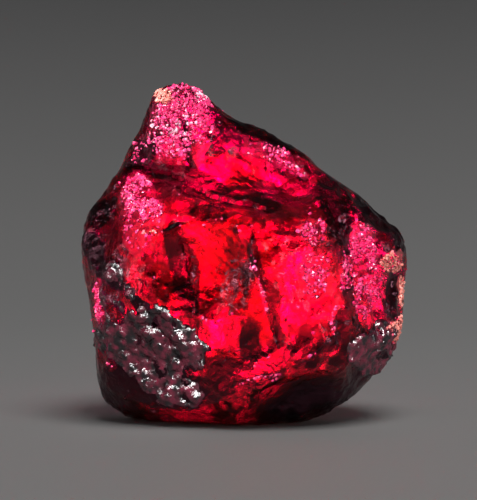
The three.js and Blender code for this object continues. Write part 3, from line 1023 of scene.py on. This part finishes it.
def speck_material():
    n = Nodes("garnet_speck")
    n.shade(Base_Color=n.mix(n.noise(0.0004, detail=2), SPECK_BLACK, SPECK_RED), Roughness=0.35)
    return n.material


def crumb_material():
    n = Nodes("garnet_crumb")
    tone = n.attribute("tone")
    colour = n.mix(n.ramp(tone, 0.0, 0.85), CRUMB_RED, CRUMB_PINK)
    colour = n.mix(n.ramp(tone, 0.85, 1.0), colour, CRUMB_WHITE)
    colour = n.mix(n.attribute("peach"), colour, CRUMB_SALMON)
    roughness = n.ramp(n.noise(0.0003, detail=2), 0.3, 0.7, 0.12, 0.45)
    n.shade(
        Base_Color=colour, Transmission_Weight=CRUMB_SEE_THROUGH, IOR=CRUMB_IOR, Roughness=roughness,
    )
    return n.material


def coat_material():
    n = Nodes("grey_coat")
    colour = n.mix(n.ramp(n.noise(0.0007, detail=4), 0.4, 0.7), COAT_BLACK, COAT_RED)
    roughness = n.ramp(n.noise(0.0005), 0.3, 0.7, 0.09, 0.32)
    normal = n.bump(n.noise(0.0004), strength=1.0, distance=0.00014)
    n.shade(Base_Color=colour, IOR=COAT_IOR, Roughness=roughness, Normal=normal)
    return n.material


def cove_material():
    """Pale on the floor, and darker up the wall."""
    n = Nodes("pale_floor")
    height = n.add("ShaderNodeSeparateXYZ", {"Vector": n.where()}).outputs["Z"]
    colour = n.mix(n.ramp(height, 0.0, WALL_SHADE), FLOOR_PALE, WALL_GREY)
    n.shade(Base_Color=colour, Roughness=0.7)
    return n.material


# ---- the studio ----
def cove():
    """A pale floor that curves up into a wall all round, so that no horizon shows from any side."""
    profile = [(FLOOR_FLAT / 2, 0.0), (FLOOR_FLAT, 0.0)]
    for a in np.linspace(0.1, math.pi / 2, 14):
        profile.append((FLOOR_FLAT + FLOOR_TURN * math.sin(a), FLOOR_TURN * (1 - math.cos(a))))
    profile.append((FLOOR_FLAT + FLOOR_TURN, FLOOR_TURN + WALL))
    around = [2 * math.pi * k / FLOOR_STEPS for k in range(FLOOR_STEPS)]
    bm = bmesh.new()
    rings = []
    for radius, height in profile:
        rings.append([bm.verts.new((radius * math.cos(a), radius * math.sin(a), height)) for a in around])
    centre = bm.verts.new((0, 0, 0))
    for k in range(FLOOR_STEPS):
        after = (k + 1) % FLOOR_STEPS
        bm.faces.new((centre, rings[0][k], rings[0][after]))
        for inner, outer in zip(rings, rings[1:]):
            bm.faces.new((inner[k], outer[k], outer[after], inner[after]))
    mesh = bpy.data.meshes.new("cove")
    bm.to_mesh(mesh)
    bm.free()
    mesh.shade_smooth()
    floor = bpy.data.objects.new("cove", mesh)
    floor.location.z = -FLOOR_GAP
    bpy.context.scene.collection.objects.link(floor)
    mesh.materials.append(cove_material())


def area_light(name, at, size, power, lit, aim=MIDDLE):
    """A soft light that aims at a point. It lights one group of pieces only."""
    azimuth, elevation, distance = at
    towards = Vector(facing_way(azimuth, elevation))
    data = bpy.data.lights.new(name, "AREA")
    data.shape = "RECTANGLE"
    data.size, data.size_y = size
    data.energy = power
    lamp = bpy.data.objects.new(name, data)
    bpy.context.scene.collection.objects.link(lamp)
    lamp.location = Vector(aim) + towards * distance
    lamp.rotation_mode = "QUATERNION"
    lamp.rotation_quaternion = towards.to_track_quat("Z", "Y")
    lamp.visible_camera = False
    lamp.visible_glossy = abs(azimuth) < 90  # lamps behind the stone shine through it, but aren't mirrored
    lamp.light_linking.receiver_collection = bpy.data.collections[lit]


def lights():
    """The lamps, what each of them lights, and a faint even sky."""
    for name, pieces in LIT.items():
        group = bpy.data.collections.new(name)
        for piece in pieces:
            group.objects.link(bpy.data.objects[piece])
    for name, lamp in LAMPS.items():
        area_light(name, **lamp)
    world = bpy.data.worlds.new("studio")
    world.use_nodes = True
    sky = world.node_tree.nodes["Background"].inputs
    sky["Color"].default_value = SKY
    sky["Strength"].default_value = SKY_STRENGTH
    bpy.context.scene.world = world


def camera():
    """A long lens, just above the level of the stone's middle, so far off that the stone fills FILL."""
    data = bpy.data.cameras.new("camera")
    data.sensor_width = SENSOR
    data.lens = LENS
    data.clip_start = 0.01
    distance = HEIGHT / FILL * LENS / SENSOR
    back = Vector((0, -math.cos(CAMERA_ELEVATION), math.sin(CAMERA_ELEVATION)))
    eye = bpy.data.objects.new("camera", data)
    bpy.context.scene.collection.objects.link(eye)
    eye.location = Vector(CAMERA_AIM) * HEIGHT + back * distance
    eye.rotation_mode = "QUATERNION"
    eye.rotation_quaternion = back.to_track_quat("Z", "Y")
    bpy.context.scene.camera = eye


stone = remeshed(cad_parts["garnet"])
detail_stone(stone)
stone.data.materials.clear()
stone.data.materials.append(garnet_material())
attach(stone, "root")
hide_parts("garnet")

cove()
lights()
camera()
bpy.context.scene.view_settings.view_transform = "Standard"
